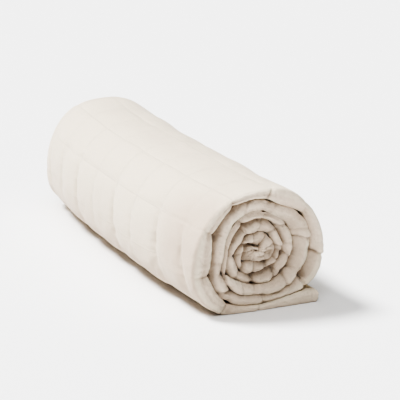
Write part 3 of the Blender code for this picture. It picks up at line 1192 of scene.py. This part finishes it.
def bump(tree, height, distance, strength, before=None):
    inputs = {"Height": height, "Distance": distance, "Strength": strength}
    if before:
        inputs["Normal"] = before
    return add_node(tree, "Bump", inputs).outputs["Normal"]


def cells(tree, place, scale):
    """How far a point is from the middle of the cell it is in, in which scale is cells a metre."""
    inputs = {"Vector": place, "Scale": scale, "Randomness": 1.0}
    return add_node(tree, "TexVoronoi", inputs).outputs["Distance"]


def mixed(tree, factor, first, second, blend="MIX"):
    node = add_node(tree, "Mix", {0: factor, 6: first, 7: second}, data_type="RGBA", blend_type=blend)
    return node.outputs[2]


def yarns(tree, cloth, length, along):
    """The slubs of the warp and weft yarns, and the plain weave that passes over and under."""
    warp = noise(tree, stretched(tree, cloth, SLUBS_ACROSS_YARN, SLUBS_ALONG_YARN), 1.0)
    weft = noise(tree, stretched(tree, cloth, SLUBS_ALONG_YARN, SLUBS_ACROSS_YARN), 1.0)
    turns = 2 * math.pi / WEAVE_PITCH
    over, under = [calc(tree, "SINE", calc(tree, "MULTIPLY", place, turns)) for place in (length, along)]
    return calc(tree, "ADD", warp, weft), calc(tree, "MULTIPLY", over, under)


def stitching(tree, length, along, ring, cross, hem, fold_shade):
    """The thread of all the stitches, and the dent that they press in. Both fade out in the folds, where
    the painted fold shade rises.
    """
    off_hem = calc(tree, "ABSOLUTE", calc(tree, "SUBTRACT", hem, HEM_STITCH))
    lines = (
        stitch_line(tree, seam_distance(tree, ring), length),
        stitch_line(tree, seam_distance(tree, cross), along),
        stitch_line(tree, off_hem, calc(tree, "ADD", length, along)),
    )
    on_face = ramp(tree, fold_shade, *STITCH_FADE, 1.0, 0.0)
    joined = [calc(tree, "MAXIMUM", calc(tree, "MAXIMUM", a, b), c) for a, b, c in zip(*lines)]
    return [calc(tree, "MULTIPLY", values, on_face) for values in joined]


def cotton_colour(tree, fold_shade, crest, thread, dent, patterns):
    """The face's colour, with painted shade in folds, crevices and stitch dents, a painted highlight on
    crests, the thread's own colour, and mottled by each (pattern, tint).
    """
    colour = FACE_COLOUR
    for factor, over in (
        # Painted shade in folds and crevices, a painted crest highlight, painted shade in stitch dents, and
        # the thread's own colour.
        (ramp(tree, fold_shade, 0.0, FOLD_SHADE_LEVEL), FOLD_SHADE_COLOUR),
        (ramp(tree, fold_shade, FOLD_SHADE_LEVEL, 1.0), CREVICE_SHADE_COLOUR),
        (calc(tree, "MULTIPLY", crest, CREST_HIGHLIGHT_TINT), CREST_HIGHLIGHT_COLOUR),
        (calc(tree, "MULTIPLY", dent, DENT_SHADE), CREVICE_SHADE_COLOUR),
        (calc(tree, "MULTIPLY", thread, THREAD_TINT), THREAD_COLOUR),
    ):
        colour = mixed(tree, factor, colour, over)
    shade = 1.0
    for pattern, tint in patterns:
        shade = calc(tree, "MULTIPLY_ADD", pattern, tint, shade)
    shade = add_node(tree, "CombineXYZ", {0: shade, 1: shade, 2: shade}).outputs[0]
    return mixed(tree, 1.0, colour, shade, "MULTIPLY")


def cotton_relief(tree, place, crumple, thread, dent, slubs, weave):
    """The bumps of the cloth, from its crumpling down to its weave."""
    small = cells(tree, place, SMALL_CRUMPLES)
    crumples = calc(tree, "MULTIPLY_ADD", small, SMALL_CRUMPLE_SHARE, cells(tree, place, LARGE_CRUMPLES))
    depth, strength = CRUMPLE_BUMP
    normal = bump(tree, crumples, depth, calc(tree, "MULTIPLY", crumple, strength))
    stitches = calc(tree, "SUBTRACT", thread, calc(tree, "MULTIPLY", dent, DENT_DEPTH))
    for height, size in (
        (noise(tree, place, *LUMPS), LUMP_BUMP),
        (stitches, STITCH_BUMP),
        (slubs, SLUB_BUMP),
        (weave, WEAVE_BUMP),
    ):
        normal = bump(tree, height, *size, normal)
    return normal


def new_material(name):
    """A material, its node tree and its shader."""
    material = bpy.data.materials.new(name)
    material.use_nodes = True
    return material, material.node_tree, material.node_tree.nodes["Principled BSDF"]


def cotton_material():
    """Undyed cotton: a plain weave with slubs, stitched seams, painted shade in the folds and painted
    highlights on the crests.
    """
    material, tree, shader = new_material("undyed_cotton")
    place = add_node(tree, "TexCoord").outputs["Object"]
    cloth, (length, along, _) = attribute(tree, "cloth")
    _, seams = attribute(tree, "quilt")
    # The painted shade, the painted crest highlight and how crumpled the cloth is.
    _, (fold_shade, crest, crumple) = attribute(tree, "painted_light_and_crumple")
    slubs, weave = yarns(tree, cloth, length, along)
    thread, dent = stitching(tree, length, along, *seams, fold_shade)
    mottle, cloud = noise(tree, place, *MOTTLE), noise(tree, place, *CLOUD)
    patterns = ((mottle, MOTTLE_TINT), (cloud, CLOUD_TINT), (slubs, SLUB_TINT), (weave, WEAVE_TINT))
    rough = calc(tree, "MULTIPLY_ADD", slubs, SLUB_ROUGHNESS, ROUGHNESS)
    set_inputs(tree, shader, {
        "Base Color": cotton_colour(tree, fold_shade, crest, thread, dent, patterns),
        "Roughness": calc(tree, "MULTIPLY_ADD", crest, CREST_ROUGHNESS, rough),
        "Normal": cotton_relief(tree, place, crumple, thread, dent, slubs, weave),
        **COTTON_SHADER,
    })
    return material


def floor_material():
    """A pale matt floor, with the faintest mottling."""
    material, tree, shader = new_material("pale_floor")
    place = add_node(tree, "TexCoord").outputs["Object"]
    mottle, patches, grain = [noise(tree, place, scale) for scale in FLOOR_SCALES]
    set_inputs(tree, shader, {
        "Base Color": calc(tree, "MULTIPLY_ADD", mottle, FLOOR_TINT, FLOOR_SHADE),
        "Roughness": calc(tree, "MULTIPLY_ADD", patches, FLOOR_PATCHES, FLOOR_ROUGHNESS),
        "Normal": bump(tree, grain, *FLOOR_BUMP),
        "Specular IOR Level": FLOOR_SPECULAR,
    })
    return material


# ---- the stage ----


def add_floor():
    bpy.ops.mesh.primitive_plane_add(size=FLOOR_SIZE)
    floor = bpy.context.object
    floor.name = "floor"
    floor.data.materials.append(floor_material())


def sun_light(name, towards, spread, strength):
    data = bpy.data.lights.new(name, "SUN")
    data.angle = math.radians(spread)
    data.energy = strength
    add_object(name, data).rotation_euler = Vector(towards).to_track_quat("-Z", "Y").to_euler()


def add_lights():
    """A wide overhead light, a soft key from behind on the left, a weak fill, and a dim white world."""
    for sun in SUNS:
        sun_light(*sun)
    world = bpy.data.worlds.new("studio")
    world.use_nodes = True
    background = world.node_tree.nodes["Background"]
    background.inputs["Color"].default_value = (1, 1, 1, 1)
    background.inputs["Strength"].default_value = WORLD_STRENGTH
    bpy.context.scene.world = world
    view = bpy.context.scene.view_settings
    view.view_transform = "AgX"
    view.look = VIEW_LOOK
    view.exposure = VIEW_EXPOSURE


def add_camera(core_x, near_y):
    """A long lens, low and to the left of the near end."""
    azimuth, elevation = math.radians(CAMERA_AZIMUTH_DEG), math.radians(CAMERA_ELEVATION_DEG)
    level = math.cos(elevation)
    back = Vector((math.sin(azimuth) * level, -math.cos(azimuth) * level, math.sin(elevation)))
    data = bpy.data.cameras.new("camera")
    data.lens = CAMERA_LENS_MM
    data.sensor_width = CAMERA_SENSOR_MM
    data.clip_end = CAMERA_REACH
    camera = add_object("camera", data)
    camera.location = Vector((core_x - TARGET_LEFT_OF_CORE, near_y, TARGET_HEIGHT)) + back * CAMERA_DISTANCE
    camera.rotation_euler = (-back).to_track_quat("-Z", "Y").to_euler()
    bpy.context.scene.camera = camera


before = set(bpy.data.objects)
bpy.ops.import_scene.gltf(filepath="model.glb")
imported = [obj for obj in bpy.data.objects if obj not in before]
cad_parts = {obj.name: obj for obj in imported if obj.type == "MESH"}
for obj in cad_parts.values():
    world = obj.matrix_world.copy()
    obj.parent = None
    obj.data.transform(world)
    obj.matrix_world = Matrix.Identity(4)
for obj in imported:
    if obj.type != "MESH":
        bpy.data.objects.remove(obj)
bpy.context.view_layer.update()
low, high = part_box(NODE)
add_camera(low[0] + CORE_FROM_LEFT, low[1])
add_lights()
add_floor()
blanket = add_blanket(cotton_material(), low, high)
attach(blanket, "root")
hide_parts(NODE)
